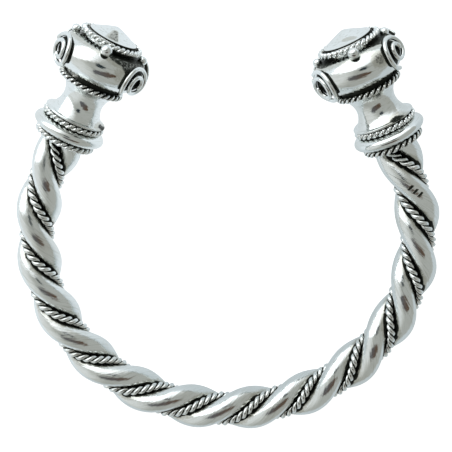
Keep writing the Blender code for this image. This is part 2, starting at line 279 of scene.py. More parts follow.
class Shell:
    """A grid of points, closed round its second axis, that is one skin of a piece.

    It has a flat cap at each end, unless it wraps round to its first row. The grain
    is a place in millimetres that changes slowly along the polishing marks."""

    def __init__(self, points, patina_and_shade, grain=None, wrap=False):
        self.points = points
        self.patina_and_shade = np.broadcast_to(patina_and_shade, points.shape[:2])
        self.grain = points if grain is None else grain
        self.wrap = wrap
        self.ends = () if wrap else (0, 1)


def grain_grid(along, around):
    """Grain on a grid of places along a piece and directions round it."""
    rows, sides = len(along), len(around)
    first = np.broadcast_to(along[:, None, None], (rows, sides, 1))
    return np.concatenate([first, np.broadcast_to(around, (rows, sides, 2))], 2)


def rod_grain(distance, radius, angles):
    """Grain of a rod of this radius, whose marks run along it."""
    return grain_grid(0.08 * distance, radius * directions(angles))


def turned_grain(profile, sides):
    """Grain of a turned piece, whose marks run round it."""
    return grain_grid(lengths_along(profile), directions(circle(sides)))


def shell_faces(shell, start):
    """Quads of a shell, with the row and the side of each, for its map."""
    rows, sides = shell.points.shape[:2]
    last = rows if shell.wrap else rows - 1
    row, side = np.meshgrid(np.arange(last), np.arange(sides), indexing="ij")
    row, side = row.ravel(), side.ravel()
    following, beside = (row + 1) % rows, (side + 1) % sides
    corners = ((row, side), (row, beside), (following, beside), (following, side))
    return np.stack([start + across * sides + along for across, along in corners], 1), row, side


def shell_map(shell, row, side, slot, slots):
    """Unrolls a shell into bands that fill its share of the map, but for a narrow margin."""
    rows, sides = shell.points.shape[:2]
    length = np.linalg.norm(np.diff(shell.points, axis=0), axis=2).mean(1).sum()
    waist = shell.points[rows // 2]
    girth = np.linalg.norm(waist - np.roll(waist, 1, 0), axis=1).sum()
    bands = max(1, round(math.sqrt(length / max(girth, 0.01) / slots)))
    per_band = math.ceil(rows / bands)
    band = row // per_band
    corners = []
    for along, across in ((0, 0), (0, 1), (1, 1), (1, 0)):
        u = 0.01 + 0.97 * (row - band * per_band + along) / per_band
        v = (slot + (band + 0.02 + 0.96 * (side + across) / sides) / (bands + 1)) / slots
        corners.append(np.stack([u, v], 1))
    return np.stack(corners, 1), bands


def cap_map(sides, end, bands, slot, slots):
    """Places a flat end's triangles in the band that a shell leaves free."""
    height = 1 / (bands + 1) / slots
    middle = np.array((0.25 + 0.5 * end, (slot + (bands + 0.5) / (bands + 1)) / slots))
    rim = middle + 0.45 * min(height, 0.4) * directions(circle(sides))
    return np.stack([np.tile(middle, (sides, 1)), rim, np.roll(rim, -1, 0)], 1)


def volume_sign(points, quads):
    """Below zero when the quads of a closed skin face inwards."""
    a, b, c, d = (points[quads[:, i]] - points.mean(0) for i in range(4))
    return (np.cross(a, b) * c).sum() + (np.cross(a, c) * d).sum()


def shell_parts(shell, start, slot, slots):
    """Points, patina, grain, quads, triangles and their maps of a shell, numbered from start on."""
    rows, sides = shell.points.shape[:2]
    points, grain = [shell.points.reshape(-1, 3)], [shell.grain.reshape(-1, 3)]
    patina_and_shade = [shell.patina_and_shade.ravel()]
    quads, row, side = shell_faces(shell, start)
    quad_map, bands = shell_map(shell, row, side, slot, slots)
    fans, fan_map = [np.zeros((0, 3), int)], [np.zeros((0, 3, 2))]
    for end in shell.ends:
        centre = start + rows * sides + end
        points.append(shell.points[-end].mean(0)[None])
        patina_and_shade.append(shell.patina_and_shade[-end].mean()[None])
        grain.append(shell.grain[-end].mean(0)[None])
        rim = start + (rows - 1) * sides * end + np.arange(sides)
        fan = np.stack([np.full(sides, centre), rim, np.roll(rim, -1)], 1)
        spread = cap_map(sides, end, bands, slot, slots)
        fans.append(fan if end else fan[:, ::-1])
        fan_map.append(spread if end else spread[:, ::-1])
    faces = [quads, np.concatenate(fans), quad_map, np.concatenate(fan_map)]
    if volume_sign(points[0], quads - start) < 0:
        faces = [corners[:, ::-1] for corners in faces]
    return [np.concatenate(points), np.concatenate(patina_and_shade), np.concatenate(grain), *faces]


def add_piece(name, shells, material, nodes):
    """Builds one smooth mesh from shells, and lets it stand for its nodes of the solid model."""
    parts, start = [], 0
    for number, shell in enumerate(shells):
        parts.append(shell_parts(shell, start, number, len(shells)))
        start += len(parts[-1][0])
    points, patina_and_shade, grain, quads, fans, quad_map, fan_map = map(np.concatenate, zip(*parts))
    world = np.array(REST)
    placed = points * MM @ world[:3, :3].T + world[:3, 3]
    mesh = bpy.data.meshes.new(name)
    mesh.from_pydata(placed.tolist(), [], quads.tolist() + fans.tolist())
    mapped = np.concatenate([quad_map.ravel(), fan_map.ravel()])
    mesh.uv_layers.new(name="OFBake").data.foreach_set("uv", mapped.astype(np.float32))
    # The patina values also hold painted shadow, shade, light and reflections
    values = mesh.attributes.new("patina_and_shade", "FLOAT", "POINT")
    values.data.foreach_set("value", patina_and_shade.astype(np.float32))
    values = mesh.attributes.new("grain", "FLOAT_VECTOR", "POINT")
    values.data.foreach_set("vector", grain.astype(np.float32).ravel())
    mesh.shade_smooth()
    mesh.set_sharp_from_angle(angle=SHARP_ANGLE)
    mesh.materials.append(material)
    piece = bpy.data.objects.new(name, mesh)
    bpy.context.scene.collection.objects.link(piece)
    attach(piece, "root")
    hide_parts(*nodes)
    return piece


def distance_to(points, line_points):
    """How far each point of a grid is from the nearest point of a line."""
    tree = KDTree(len(line_points))
    for i, point in enumerate(line_points):
        tree.insert(point, i)
    tree.balance()
    return np.array([tree.find(point)[2] for point in points.reshape(-1, 3)]).reshape(points.shape[:2])


# Hoop


def oval_point(angle):
    """Points of the oval, by the angle from the middle of the hoop's back."""
    return np.stack([OVAL_HALF_WIDTH * np.sin(angle), -OVAL_HALF_DEPTH * np.cos(angle), 0 * angle], -1)


OVAL_END_ANGLE = math.pi / 2 + math.atan(OVAL_HALF_DEPTH / OVAL_HALF_WIDTH * math.tan(TERMINAL_LEAN))
OVAL_ANGLES = np.linspace(0, OVAL_END_ANGLE, 1441)
OVAL_LENGTHS = lengths_along(oval_point(OVAL_ANGLES))
HOOP_HALF_LENGTH = OVAL_LENGTHS[-1] + STRAIGHT_END
STRAND_END = HOOP_HALF_LENGTH - SOLDER_GAP
WIRE_OFFSET = WIRE_RADIUS + SOLDER_GAP / 2


def hoop_axis(distance):
    """Points, forward directions and inward directions of the hoop's axis."""
    side = np.where(distance < 0, -1.0, 1.0)
    along_oval = np.minimum(abs(distance), OVAL_LENGTHS[-1])
    angle = np.interp(along_oval, OVAL_LENGTHS, OVAL_ANGLES)
    forward = unit(
        np.stack([OVAL_HALF_WIDTH * np.cos(angle), OVAL_HALF_DEPTH * np.sin(angle), 0 * angle], -1)
    )
    point = oval_point(angle) + forward * (abs(distance) - along_oval)[..., None]
    point[..., 0] *= side
    forward[..., 1] *= side
    return point, forward, np.cross(UP, forward)


def strand(distance, radius, start):
    """Centres of a twisted strand, and the directions from the hoop's axis to them."""
    middle, _, inward = hoop_axis(distance)
    share = distance / HOOP_HALF_LENGTH
    angle = start + TWIST_PHASE - math.tau * distance / TWIST_PITCH + TWIST_DRIFT * share**2
    outward = np.cos(angle)[..., None] * inward + np.sin(angle)[..., None] * UP
    return middle + radius * outward, outward


def rings_round(centre, tangent, outward, radius, angles):
    """Rings of points round a line of centres. radius may vary from point to point."""
    across = unit(np.cross(tangent, outward))
    outward = unit(np.cross(across, tangent))
    cos, sin = np.cos(angles)[None, :, None], np.sin(angles)[None, :, None]
    spread = cos * outward[:, None] + sin * across[:, None]
    return centre[:, None] + np.asarray(radius)[..., None] * spread


def square_ends(rings, distance, tangent):
    """Slants the rings of the last 4 mm so that a strand ends square to the hoop's axis."""
    middle, forward, _ = hoop_axis(distance)
    reach = (tangent * forward).sum(1)
    short = ((middle[:, None] - rings) * forward[:, None]).sum(2) / reach[:, None]
    share = np.clip(1 - (STRAND_END - abs(distance)) / 4, 0, 1)
    return rings + tangent[:, None] * (short * share[:, None])[..., None]


def groove_radius():
    """How far from the hoop's axis a rope wire sits when it clears both thick wires."""
    needed = WIRE_RADIUS + ROPE_WIRE_RADIUS + SOLDER_GAP
    bend = min(OVAL_HALF_DEPTH, OVAL_HALF_WIDTH)
    lag = -np.linspace(0, 1, 101)
    seat = needed
    while True:
        advance = TWIST_PITCH / math.tau * (1 - seat / bend)
        aside = WIRE_OFFSET**2 + seat**2 + 2 * WIRE_OFFSET * seat * np.sin(lag)
        if (aside + (advance * lag) ** 2).min() < needed**2:
            return seat
        seat -= 0.005


GROOVE_RADIUS = groove_radius()


def strand_run(radius, start, step, extra=()):
    """Distances along the hoop, with a strand's centres, tangents and outward directions."""
    distance = np.linspace(-STRAND_END, STRAND_END, round(2 * STRAND_END / step) + 1)
    distance = np.union1d(distance, extra)
    centre, outward = strand(distance, radius, start)
    nudge = 0.02
    after, _ = strand(distance + nudge, radius, start)
    before, _ = strand(distance - nudge, radius, start)
    return distance, centre, unit(after - before), outward


def stroke_mask(distance, angles):
    """1 in the worn strokes, on a grid of distances along the hoop and angles round the wire."""
    degrees = np.degrees((angles + math.pi) % math.tau - math.pi)
    mask = np.zeros((len(distance), len(angles)))
    for along, turn in STROKES:
        near = smoothstep(*STROKE_HALF_WIDTHS, abs(distance - along))[:, None]
        mask = np.maximum(mask, near * smoothstep(*STROKE_HALF_LENGTHS, abs(degrees - turn)))
    return mask


def wire_patina_and_light(rings, distance, start, rope_lines, other_line):
    """Dark bands beside the ropes, wider on the flanks and the outside, with an uneven edge, made
    lighter on the hoop's left by painted light.
    """
    middle, _, inward = hoop_axis(distance)
    outside = smoothstep(0.5, 2.5, -((rings - middle[:, None]) * inward[:, None]).sum(2))
    flank = smoothstep(10, 28, abs(middle[:, 0]))[:, None]
    spread = BAND_REACH + BAND_SPREAD * np.maximum(outside, 0.6 * flank)
    wave = np.sin(3.1 * distance) + np.sin(1.3 * distance + start)
    spread = spread + BAND_WAVE * wave[:, None]
    from_rope = distance_to(rings, rope_lines)
    band = smoothstep(spread, spread - 0.3, from_rope)
    haze = HAZE * smoothstep(spread + 0.7, spread, from_rope)
    crevice = smoothstep(WIRE_RADIUS + 0.7, WIRE_RADIUS + 0.1, distance_to(rings, other_line))
    # Painted light: all this patina is lighter on the hoop's left, where the light falls
    left = smoothstep(-13, -26, middle[:, 0])
    return np.maximum(np.maximum(band, crevice), haze) * (1 - LEFT_LIGHTENING * left)[:, None]


def add_wire(letter, start, rope_lines, other_line, material):
    """A thick wire, dark beside the ropes. Wire a also carries the worn strokes."""
    extra, angles = (), circle(WIRE_SIDES)
    if letter == "a":
        extra = np.arange(STROKES[-1][0] - 0.5, STROKES[0][0] + 0.5, STROKE_STEP)
        angles = np.union1d(angles, STROKE_ANGLES % math.tau)
    distance, centre, tangent, outward = strand_run(WIRE_OFFSET, start, WIRE_STEP, extra)
    worn = stroke_mask(distance, angles) if letter == "a" else 0
    wave = 1 + WIRE_WAVE * np.sin(distance * 0.71 + start)[:, None] * np.cos(angles * 2 + start)[None]
    rings = rings_round(centre, tangent, outward, WIRE_RADIUS * wave - STROKE_DEPTH * worn, angles)
    rings = square_ends(rings, distance, tangent)
    patina_and_shade = np.maximum(wire_patina_and_light(rings, distance, start, rope_lines, other_line), worn)
    grain = rod_grain(distance, WIRE_RADIUS, angles)
    name = "hoop_wire_" + letter
    add_piece("silver_" + name, [Shell(rings, patina_and_shade, grain)], material, [name])


def ply_leans(twist, outward, across):
    """Directions from the middle of a rope to each of its two wires."""
    for start in (0, math.pi):
        turn = start - twist
        yield np.cos(turn)[:, None] * outward + np.sin(turn)[:, None] * across


def add_rope_wire(letter, start, wire_lines, material):
    """A rope of two twisted wires, dark between them and beside the thick wires."""
    distance, middle, along, outward = strand_run(GROOVE_RADIUS, start, PLY_STEP)
    across = unit(np.cross(along, outward))
    outward = unit(np.cross(across, along))
    twist = math.tau * lengths_along(middle) / PLY_PITCH
    shells = []
    for lean in ply_leans(twist, outward, across):
        centre = middle + PLY_OFFSET * lean
        tangent = unit(np.gradient(centre, axis=0))
        rings = rings_round(centre, tangent, lean, PLY_RADIUS, circle(PLY_SIDES))
        rings = square_ends(rings, distance, along)
        from_middle = np.linalg.norm(rings - middle[:, None], axis=2)
        crevice = smoothstep(*ROPE_CREVICE, from_middle)
        groove = smoothstep(WIRE_RADIUS + 0.3, WIRE_RADIUS + 0.05, distance_to(rings, wire_lines))
        shells.append(Shell(rings, np.maximum(crevice, groove)))
    name = "hoop_rope_" + letter
    add_piece("silver_" + name, shells, material, [name])


def add_hoop(drawn, roped):
    """Two thick wires, and a rope wire in each of the two grooves between them."""
    turns = {"a": 0.0, "b": math.pi}
    ropes = [strand_run(GROOVE_RADIUS, turn, LINE_STEP)[1] for turn in turns.values()]
    wires = [strand_run(WIRE_OFFSET, turn + math.pi / 2, LINE_STEP)[1] for turn in turns.values()]
    for (letter, turn), other_wire in zip(turns.items(), reversed(wires)):
        add_wire(letter, turn + math.pi / 2, np.concatenate(ropes), other_wire, drawn)
        add_rope_wire(letter, turn, np.concatenate(wires), roped)


# Terminal, along its own axis from the base


ROPE_STEP = 2 * ROPE_RING_RADIUS + SOLDER_GAP
LOWER_ROPE_HEIGHT = ROPE_RING_RADIUS
FOOT_RING_BOTTOM = ROPE_STEP
FOOT_RING_TOP = FOOT_RING_BOTTOM + FOOT_RING_WIDTH
UPPER_ROPE_HEIGHT = FOOT_RING_TOP + SOLDER_GAP + ROPE_RING_RADIUS
NECK_BOTTOM = UPPER_ROPE_HEIGHT + ROPE_RING_RADIUS + SOLDER_GAP
NECK_TOP = NECK_BOTTOM + NECK_LENGTH
NECK_ROPE_HEIGHT = NECK_TOP + ROPE_RING_RADIUS
HEAD_BOTTOM = NECK_TOP + ROPE_STEP + LOWER_GROOVE_WIDTH
HEAD_TOP = HEAD_BOTTOM + HEAD_LENGTH
RIM_ROPE_HEIGHT = HEAD_TOP + UPPER_GROOVE_WIDTH + ROPE_RING_RADIUS
RIM_TOP = RIM_ROPE_HEIGHT + ROPE_RING_RADIUS - RIM_SINK


def lip_share(lip_radius):
    return math.sqrt(1 - (lip_radius / HEAD_RADIUS) ** 2)


BALL_HALF_LENGTH = HEAD_LENGTH / (lip_share(LOWER_LIP_RADIUS) + lip_share(UPPER_LIP_RADIUS))
EQUATOR_HEIGHT = HEAD_BOTTOM + BALL_HALF_LENGTH * lip_share(LOWER_LIP_RADIUS)


def terminal_profile():
    """Fine outline of the turned body as (radius, height) points."""
    points = [(LOWER_SEAT_RADIUS - 0.1, 0), (LOWER_SEAT_RADIUS, 0.1)]
    middle = (FOOT_RING_BOTTOM + FOOT_RING_TOP) / 2
    for angle in np.linspace(0, math.pi, 2 * ROUND_STEPS + 1):
        seat = LOWER_SEAT_RADIUS if angle <= math.pi / 2 else UPPER_SEAT_RADIUS
        radius = seat + (FOOT_RING_RADIUS - seat) * math.sin(angle)
        points.append((radius, middle - FOOT_RING_WIDTH / 2 * math.cos(angle)))
    points.append((UPPER_SEAT_RADIUS, NECK_BOTTOM))
    half = FLANGE_THICKNESS / 2
    for angle in np.linspace(-math.pi / 2, math.pi / 2, 7):
        radius = FLANGE_RADIUS - half + half * math.cos(angle)
        points.append((radius, NECK_BOTTOM + half + half * math.sin(angle)))
    start = NECK_BOTTOM + FLANGE_THICKNESS
    waist, half = (start + NECK_TOP) / 2, (NECK_TOP - start) / 2
    for height in np.linspace(start, NECK_TOP, 2 * ROUND_STEPS):
        end_radius = NECK_FOOT_RADIUS if height < waist else NECK_SEAT_RADIUS
        swell = ((height - waist) / half) ** 2
        points.append((NECK_WAIST_RADIUS + (end_radius - NECK_WAIST_RADIUS) * swell, height))
    points.append((NECK_SEAT_RADIUS, HEAD_BOTTOM - GROOVE_TAPER))
    points.append((LOWER_LIP_RADIUS - 0.12, HEAD_BOTTOM - 0.03))
    for height in np.linspace(HEAD_BOTTOM + 0.03, HEAD_TOP - 0.03, 2 * ROUND_STEPS):
        offset = (height - EQUATOR_HEIGHT) / BALL_HALF_LENGTH
        points.append((HEAD_RADIUS * math.sqrt(1 - offset**2), height))
    points.append((UPPER_LIP_RADIUS - 0.12, HEAD_TOP + 0.02))
    points += [(RIM_SEAT_RADIUS, HEAD_TOP + GROOVE_TAPER), (RIM_SEAT_RADIUS, RIM_TOP - 0.05)]
    points.append((RIM_SEAT_RADIUS - 0.05, RIM_TOP))
    return np.array(points)


def refined(profile, longest):
    """The same outline with no stretch longer than this."""
    points = [profile[0]]
    for before, after in zip(profile, profile[1:]):
        count = max(1, math.ceil(np.linalg.norm(after - before) / longest))
        points += [before + (after - before) * i / count for i in range(1, count + 1)]
    return np.array(points)


def spun(profile, sides):
    """A grid of points, one row for each point of the outline."""
    flat = profile[:, :1, None] * directions(circle(sides))
    height = np.broadcast_to(profile[:, 1:, None], (len(profile), sides, 1))
    return np.concatenate([flat, height], 2)


class Terminal:
    """Places local points of one terminal, with local +X up and +Z along its axis."""

    def __init__(self, name, side):
        self.name = name
        self.side = side
        point, forward, _ = hoop_axis(np.array([side * HOOP_HALF_LENGTH]))
        axis = forward[0] * side
        self.turn = np.stack([UP, np.cross(axis, UP), axis], 1)
        self.place = point[0]

    def placed(self, points):
        return points @ self.turn.T + self.place

    def add(self, piece_name, shells, material, slot):
        """Adds one piece of this terminal, from shells in its local frame."""
        for shell in shells:
            shell.points = self.placed(shell.points)
        node = self.name + "_" + piece_name
        return add_piece("silver_" + node, shells, material, [node])


# Seat and height of each rope ring, and how often its two wires turn about each other
RopeRing = namedtuple("RopeRing", "seat height twists")
ROPE_RINGS = {
    "lower_foot_rope": RopeRing(LOWER_SEAT_RADIUS, LOWER_ROPE_HEIGHT, 13),
    "upper_foot_rope": RopeRing(UPPER_SEAT_RADIUS, UPPER_ROPE_HEIGHT, 14),
    "neck_rope": RopeRing(NECK_SEAT_RADIUS, NECK_ROPE_HEIGHT, 15),
    "rim_rope": RopeRing(RIM_SEAT_RADIUS, RIM_ROPE_HEIGHT, 16),
}

# How far from the middle of each rope ring its patina reaches
CREVICE_REACHES = {
    "left": {"lower_foot_rope": 0.42, "upper_foot_rope": 0.38, "neck_rope": 0.5, "rim_rope": 0.38},
    "right": {"lower_foot_rope": 0.51, "upper_foot_rope": 0.41, "neck_rope": 0.53, "rim_rope": 0.4},
}


def rope_ring_centre(seat_radius):
    return seat_radius + SOLDER_GAP + ROPE_RING_RADIUS


def coil_reach(turns, eye_reach):
    """A hooked inner end, a turn round the eye, and a step out to the last turn."""
    hook = (eye_reach - SPIRAL_END_REACH) * smoothstep(0, 0.4, turns)
    step = (SPIRAL_OUTER_REACH - eye_reach - SPIRAL_SLACK) * smoothstep(0.85, 1.45, turns)
    return SPIRAL_END_REACH + hook + step + SPIRAL_SLACK * turns / 2


def coil_line(coil, angle, turns):
    """Middle of a spiral's wire after so many turns, domed over the ball."""
    outward = level(angle)
    around = np.cross(UP, outward)
    turn = math.radians(coil.inner_end) - math.tau * turns
    reach = coil_reach(turns, coil.eye_reach)
    seat = HEAD_RADIUS + SOLDER_GAP + SPIRAL_WIRE_RADIUS
    sideways, along = reach * np.sin(turn), coil.lift + reach * np.cos(turn)
    dome = seat - sideways**2 / (2 * seat) - along**2 / (2 * SPIRAL_BEND_RADIUS)
    height = (EQUATOR_HEIGHT + along)[..., None]
    return outward * dome[..., None] + around * sideways[..., None] + UP * height


def under_coil(sideways, along, coil):
    """Painted shadow of a coil: 1 under it and in its gaps, falling to 0 under its outer turn."""
    turns = (math.radians(coil.inner_end) - np.arctan2(sideways, along)) / math.tau % 1
    last = turns + np.maximum(np.floor(coil.turns - turns), 0)
    edge = coil_reach(last, coil.eye_reach) - 0.15
    return smoothstep(edge + 0.1, edge - 0.1, np.hypot(sideways, along))


def rope_seats(radius, height):
    """Patina under the rope rings, thinner at the upper foot rope."""
    dark = np.zeros_like(radius)
    for ring in ROPE_RINGS.values():
        gap = np.hypot(radius - rope_ring_centre(ring.seat), height - ring.height)
        depth = UPPER_SEAT_PATINA if ring.seat == UPPER_SEAT_RADIUS else 1
        near = smoothstep(ROPE_RING_RADIUS + 0.26, ROPE_RING_RADIUS + 0.06, gap)
        dark = np.maximum(dark, depth * near)
    return dark


def head_band(name, radius, height, inside):
    """The dark band in the groove under the ball, made lighter toward its outer side by painted light.
    """
    under_head = (height > NECK_TOP + 0.3) & (height < HEAD_BOTTOM + 0.02)
    # Painted light: the band is lighter on the outer side, where the light falls
    fade = smoothstep(-5, -40, inside) * smoothstep(-140, -90, inside)
    return under_head * (1 - BAND_LIGHTENING[name] * fade) * smoothstep(0.05, 0.3, LOWER_LIP_RADIUS - radius)


def coil_shadows(name, side, angle, height):
    """Painted shadow on the ball under each spiral and in its gaps."""
    dark = np.zeros_like(height)
    for coil in SPIRALS[name].values():
        turn = (angle - side * math.radians(coil.from_top) + math.pi) % math.tau - math.pi
        shadow = under_coil(HEAD_RADIUS * turn, height - EQUATOR_HEIGHT - coil.lift, coil)
        dark = np.maximum(dark, (height > HEAD_BOTTOM) * shadow)
    return dark


def rim_pool(name, radius, height, inside):
    """Patina in the groove at the rim, and the pool and haze that run down the ball from it."""
    pool = np.interp(inside, list(POOL_DEPTHS[name]), list(POOL_DEPTHS[name].values()))
    rim = (height > HEAD_TOP - 0.05) & (radius < UPPER_LIP_RADIUS)
    on_shoulder = (height > EQUATOR_HEIGHT) & (height <= HEAD_TOP)
    below = HEAD_TOP - height
    shore = SHOULDER_PATINA * smoothstep(pool + 0.2, pool - 0.2, below)
    haze = HAZE * smoothstep(pool + 0.9, pool + 0.1, below)
    return np.maximum(rim * smoothstep(0.0, 0.42, pool), on_shoulder * np.maximum(shore, haze))


def neck_pools_and_face_shade(name, height, inside):
    """A pool of patina at the foot of the neck, and painted shade on the upper half of the ball where
    its reflected highlight ends.
    """
    middle, half = NECK_POOLS[name]
    rise = (height - NECK_BOTTOM - FLANGE_THICKNESS) / NECK_POOL_HEIGHT
    away = np.hypot((inside - middle) / half, rise)
    pool = np.maximum(NECK_PATINA * smoothstep(1.5, 0.4, away), HAZE * smoothstep(2.2, 1.0, away))
    # Painted shade on the upper half of the ball, where the reflected highlight ends
    middle, half, depth = FACE_SHADE_PATCHES[name]
    rise = (height - EQUATOR_HEIGHT - SHADE_PATCH_RISE) / SHADE_PATCH_HALF_HEIGHT
    away = np.hypot((inside - middle) / half, rise)
    return np.maximum(pool, depth * smoothstep(1.4, 0.3, away))


def body_patina_and_shade(points, name, side):
    """All the patina and painted shade on a turned body, ending with a haze at the bottom of the ball.
    """
    x, y, height = points[..., 0], points[..., 1], points[..., 2]
    radius, angle = np.hypot(x, y), np.arctan2(y, x)
    inside = np.degrees(-side * angle)
    lower = (height > HEAD_BOTTOM) & (height < EQUATOR_HEIGHT)
    places = (
        rope_seats(radius, height),
        head_band(name, radius, height, inside),
        coil_shadows(name, side, angle, height),
        rim_pool(name, radius, height, inside),
        neck_pools_and_face_shade(name, height, inside),
        HAZE * lower * smoothstep(0.6, 0.1, height - HEAD_BOTTOM),
    )
    return np.maximum.reduce(places)


def add_rope_ring(terminal, name, material):
    """A ring of two twisted wires, with patina between them up to its own reach."""
    ring, reach = ROPE_RINGS[name], CREVICE_REACHES[terminal.name][name]
    around = circle(ring.twists * RING_STEPS_PER_TURN)
    outward = level(around)
    across = np.cross(np.cross(UP, outward), outward)
    middle = outward * rope_ring_centre(ring.seat) + UP * ring.height
    shells = []
    for lean in ply_leans(ring.twists * around, outward, across):
        centre = middle + RING_PLY_OFFSET * lean
        tangent = unit(np.roll(centre, -1, 0) - np.roll(centre, 1, 0))
        rings = rings_round(centre, tangent, lean, RING_PLY_RADIUS, circle(RING_SIDES))
        from_middle = np.linalg.norm(rings - middle[:, None], axis=2)
        crevice = smoothstep(reach, reach - 0.13, from_middle)
        from_axis = np.hypot(rings[..., 0], rings[..., 1])
        inner = smoothstep(ring.seat + 0.4, ring.seat + 0.15, from_axis)
        shells.append(Shell(rings, np.maximum(crevice, inner), wrap=True))
    terminal.add(name, shells, material, ROPED_SLOT)


def add_spiral(terminal, place, material):
    """A coil of wire with rounded ends, with painted shade along the side that faces the ball."""
    coil = SPIRALS[terminal.name][place]
    angle = terminal.side * math.radians(coil.from_top)

    def line(turns):
        return coil_line(coil, angle, np.clip(turns, 0, coil.turns))

    even = np.linspace(0, coil.turns, round(coil.turns * SPIRAL_STEPS_PER_TURN) + 1)
    travelled = lengths_along(line(even))
    length = travelled[-1]
    tips = SPIRAL_WIRE_RADIUS * (1 - np.cos(np.linspace(0.25, math.pi / 2, 6)))
    margin = tips[-1] + 0.05
    inner = travelled[(travelled > margin) & (travelled < length - margin)]
    way = np.concatenate([tips, inner, length - tips[::-1]])
    turned = np.interp(way, travelled, even)
    tangent = unit(line(turned + 2e-3) - line(turned - 2e-3))
    outward = np.tile(level(angle), (len(turned), 1))
    to_end = np.clip(np.minimum(way, length - way) / SPIRAL_WIRE_RADIUS, 0, 1)
    radius = SPIRAL_WIRE_RADIUS * np.sqrt(1 - (1 - to_end) ** 2)
    angles = circle(SPIRAL_SIDES)
    rings = rings_round(line(turned), tangent, outward, radius[:, None], angles)
    from_crown = abs((angles + math.pi) % math.tau - math.pi)
    # Painted shade on the underside of the wire, which faces the ball
    patina_and_shade = smoothstep(math.radians(98), math.radians(125), from_crown)
    grain = rod_grain(way, SPIRAL_WIRE_RADIUS, angles)
    terminal.add("spiral_" + place, [Shell(rings, patina_and_shade, grain)], material, POLISHED_SLOT)


def add_granule(terminal, place, quarters, material):
    """A ball in the groove at the rim, dark beside the rope ring and down in the groove."""
    size = GRANULE_RADII[place]
    height = HEAD_TOP + GRANULE_LIFT + size
    reach = size + ROPE_RING_RADIUS + SOLDER_GAP
    rope_radius = rope_ring_centre(RIM_SEAT_RADIUS)
    radius = rope_radius + math.sqrt(reach**2 - (RIM_ROPE_HEIGHT - height) ** 2)
    tilt = np.linspace(0.06, math.pi - 0.06, ROUND_STEPS)
    ball = spun(size * np.stack([np.sin(tilt), -np.cos(tilt)], -1), 2 * ROUND_STEPS)
    points = ball + radius * level(terminal.side * quarters * math.pi / 2) + UP * height
    from_axis, up = np.hypot(points[..., 0], points[..., 1]), points[..., 2]
    from_rope = np.hypot(from_axis - rope_radius, up - RIM_ROPE_HEIGHT)
    in_groove = smoothstep(HEAD_TOP - 0.1, HEAD_TOP - 0.3, up)
    patina_and_shade = np.maximum(smoothstep(0.72, 0.64, from_rope), in_groove)
    terminal.add("granule_" + place, [Shell(points, patina_and_shade)], material, POLISHED_SLOT)


def cone_reflection(name, radius, inside):
    """The painted reflection near the top of each cone, a dull wedge on the left and a dull oval on the
    right.
    """
    if name == "left":
        wedge = WEDGE_REFLECTION_DEPTH
        for edge in WEDGE_SIDES:
            wedge = wedge * smoothstep(*edge, np.degrees(inside))
        for edge in WEDGE_ENDS:
            wedge = wedge * smoothstep(*edge, radius)
        return wedge
    up = radius * np.cos(inside) - OVAL_REFLECTION_PLACE[0]
    across = radius * np.sin(inside) - OVAL_REFLECTION_PLACE[1]
    away = np.hypot((up + OVAL_REFLECTION_SLANT * across) / OVAL_REFLECTION_HALF_SIZE[0], across / OVAL_REFLECTION_HALF_SIZE[1])
    return HAZE * smoothstep(1.2, 0.85, away)


def add_cone(terminal, material):
    """The low cone on the end of the head, with a rounded tip and a painted shadow along its edge."""
    base = RIM_TOP + SOLDER_GAP
    edge_run = math.hypot(CONE_RADIUS, CONE_TIP_RADIUS)
    points = [(CONE_RADIUS - 0.08, base), (CONE_RADIUS, base + 0.08)]
    for radius in np.linspace(CONE_RADIUS, 0.12, 2 * ROUND_STEPS):
        rise = (edge_run - math.hypot(radius, CONE_TIP_RADIUS)) * math.tan(CONE_SLOPE)
        points.append((radius, base + CONE_EDGE + rise))
    profile = refined(np.array(points), CONE_STEP)
    grid = spun(profile, CONE_SIDES)
    radius = np.hypot(grid[..., 0], grid[..., 1])
    inside = -terminal.side * np.arctan2(grid[..., 1], grid[..., 0])
    # Painted shadow along the cone's edge, beside the rim rope
    edge = smoothstep(CONE_RADIUS - 0.1, CONE_RADIUS, radius)
    # Painted reflection near the top of the cone
    patina_and_shade = np.maximum(edge, cone_reflection(terminal.name, radius, inside))
    shell = Shell(grid, patina_and_shade, turned_grain(profile, CONE_SIDES))
    terminal.add("end_cone", [shell], material, POLISHED_SLOT)


def add_terminal(name, side, polished, roped):
    """The turned body of one end with its rope rings, cone, granules and spirals."""
    terminal = Terminal(name, side)
    profile = refined(terminal_profile(), TURNED_STEP)
    grid = spun(profile, TURNED_SIDES)
    shell = Shell(grid, body_patina_and_shade(grid, name, side), turned_grain(profile, TURNED_SIDES))
    terminal.add("terminal", [shell], polished, POLISHED_SLOT)
    for ring in ROPE_RINGS:
        add_rope_ring(terminal, ring, roped)
    add_cone(terminal, polished)
    for place, quarters in {"top": 0, "outer": 1, "under": 2, "inner": 3}.items():
        add_granule(terminal, place, quarters, polished)
    for spiral in SPIRALS[name]:
        add_spiral(terminal, spiral, polished)


# Materials

# Colours of the silver: clean, tarnished, dulled along the marks, and hazy beside the patina
CLEAN = (0.88, 0.92, 0.92, 1)
TARNISHED = (0.80, 0.82, 0.80, 1)
DULL = (0.66, 0.69, 0.65, 1)
HAZY = (0.58, 0.58, 0.52, 1)

# Colours that the patina, and the shade and reflections painted with it, are mottled with
DEEP_PATINA_AND_SHADE = (0.010, 0.010, 0.009, 1)
PALE_PATINA_AND_SHADE = (0.055, 0.062, 0.05, 1)

# Depths of the dents, of the marks on polished and on drawn silver, and of the scratches
DENT_DEPTH = 0.2
POLISH_DEPTH = 0.02
DRAWN_DEPTH = 0.04
SCRATCH_DEPTH = 0.005


